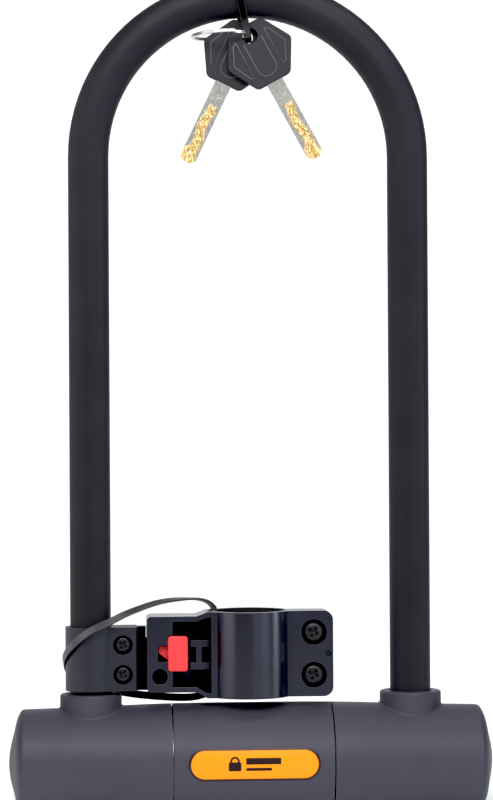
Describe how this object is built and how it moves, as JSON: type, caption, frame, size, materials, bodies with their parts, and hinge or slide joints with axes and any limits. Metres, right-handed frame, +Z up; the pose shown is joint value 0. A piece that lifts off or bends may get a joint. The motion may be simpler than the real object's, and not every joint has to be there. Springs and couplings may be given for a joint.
{
  "type": "u lock",
  "caption": "U-shaped bicycle lock: coated steel shackle in a round keyed crossbar, with a tube-clamp carrying bracket on one leg and spare keys on a ring tied under the arch.",
  "frame": {"origin": "middle of the flat land under the crossbar, at the bottom of the bounding box", "axes": "+X along the crossbar, towards the leg with no collar; -Y to the front, where the badge is; +Z up, along the shackle's legs"},
  "size_m": [0.18, 0.043, 0.3126],
  "materials": {
    "steel_tube": "zinc plated steel",
    "soft_cover": "soft-touch matte",
    "badge_rim": "dark red-brown gloss",
    "badge_face": "orange enamel look",
    "seal_rubber": "matte rubber",
    "cylinder_brass": "machined brass",
    "spring_steel": "spring steel",
    "hardened_steel": "hardened steel",
    "black_plastic": "moulded nylon, satin gloss",
    "collar_plastic": "moulded nylon, matte",
    "vinyl_coating": "matte vinyl",
    "tie_nylon": "black nylon",
    "black_screws": "black oxide steel",
    "red_button": "red plastic",
    "key_bow": "moulded over the blade",
    "key_blade": "nickel plated brass, milled track bare",
    "ring_wire": "nickel plated"
  },
  "bodies": {
    "crossbar": {"crossbar_tube": "steel_tube", "end_plug_left": "steel_tube", "end_plug_right": "steel_tube", "cover_left": "soft_cover", "cover_right": "soft_cover", "cover_centre": "soft_cover", "badge_rim": "badge_rim", "badge_plate": "badge_face", "shackle_seal_left": "seal_rubber", "shackle_seal_right": "seal_rubber", "cylinder_housing": "cylinder_brass", "cylinder_clip": "spring_steel", "keyhole_plate": "black_plastic", "bolt_guide_left": "hardened_steel", "bolt_guide_right": "hardened_steel"},
    "lock_plug": {"lock_plug": "cylinder_brass", "wafers": "cylinder_brass"},
    "right_bolt": {"right_bolt": "hardened_steel"},
    "left_bolt": {"left_bolt": "hardened_steel"},
    "dust_cover": {"dust_cover": "black_plastic"},
    "shackle": {"shackle_core": "hardened_steel", "shackle_coating": "vinyl_coating", "key_tie": "tie_nylon", "key_tie_head": "tie_nylon"},
    "collar": {"collar_front": "collar_plastic", "collar_rear": "collar_plastic", "collar_liner": "seal_rubber", "collar_screw_lower": "black_screws", "collar_screw_upper": "black_screws", "collar_nut_lower": "black_screws", "collar_nut_upper": "black_screws", "rail_catch": "black_plastic"},
    "bracket": {"bracket_front": "black_plastic", "bracket_rear": "black_plastic", "clamp_pad_front": "seal_rubber", "clamp_pad_rear": "seal_rubber", "clamp_screw_lower": "black_screws", "clamp_screw_upper": "black_screws", "clamp_nut_lower": "black_screws", "clamp_nut_upper": "black_screws", "button_spring": "spring_steel", "bracket_tie": "tie_nylon", "bracket_tie_head": "tie_nylon"},
    "release_button": {"release_button": "red_button"},
    "key_1": {"key_1_bow": "key_bow", "key_1_blade": "key_blade"},
    "key_2": {"key_2_bow": "key_bow", "key_2_blade": "key_blade"},
    "split_ring": {"split_ring": "ring_wire"}
  },
  "joints": [
    {"name": "shackle_lift", "type": "slide", "parent": "crossbar", "child": "shackle", "axis": [0, 0, 1], "range_m": [0, 0.06]},
    {"name": "plug_turn", "type": "hinge", "parent": "crossbar", "child": "lock_plug", "pos_m": [0, 0, 0], "axis": [0, 0, 1], "range_deg": [0, 90]},
    {"name": "right_bolt_slide", "type": "slide", "parent": "crossbar", "child": "right_bolt", "axis": [1, 0, 0], "range_m": [0, 0.00659]},
    {"name": "left_bolt_slide", "type": "slide", "parent": "crossbar", "child": "left_bolt", "axis": [-1, 0, 0], "range_m": [0, 0.0067]},
    {"name": "dust_cover_slide", "type": "slide", "parent": "crossbar", "child": "dust_cover", "axis": [1, 0, 0], "range_m": [0, 0.0132]},
    {"name": "collar_swivel", "type": "hinge", "parent": "shackle", "child": "collar", "pos_m": [-0.0596, 0, 0.05], "axis": [0, 0, 1], "range_deg": [0, 95]},
    {"name": "bracket_slide", "type": "slide", "parent": "collar", "child": "bracket", "axis": [0, 0, 1], "range_m": [0, 0.028], "deforming": ["rail_catch"]},
    {"name": "release_button_slide", "type": "slide", "parent": "bracket", "child": "release_button", "axis": [1, 0, 0], "range_m": [0, 0.0026], "stiffness_N_per_m": 400, "springref_m": -0.002, "deforming": ["button_spring"]},
    {"name": "key_1_swing", "type": "hinge", "parent": "shackle", "child": "key_1", "pos_m": [0.0007, -0.0028, 0.289], "axis": [0, 1, 0], "range_deg": [0, 55]},
    {"name": "key_2_swing", "type": "hinge", "parent": "shackle", "child": "key_2", "pos_m": [-0.0008, 0.0003, 0.289], "axis": [0, 1, 0], "range_deg": [-50, 0]},
    {"name": "ring_turn", "type": "hinge", "parent": "shackle", "child": "split_ring", "pos_m": [-0.01008, -0.0003, 0.28975], "axis": [-0.0628, 0, 0.998], "continuous": true}
  ],
  "couplings": [
    {"joint": "plug_turn", "follows": "right_bolt_slide", "rad_per_m": 238.09},
    {"joint": "left_bolt_slide", "follows": "right_bolt_slide", "ratio": 1}
  ]
}
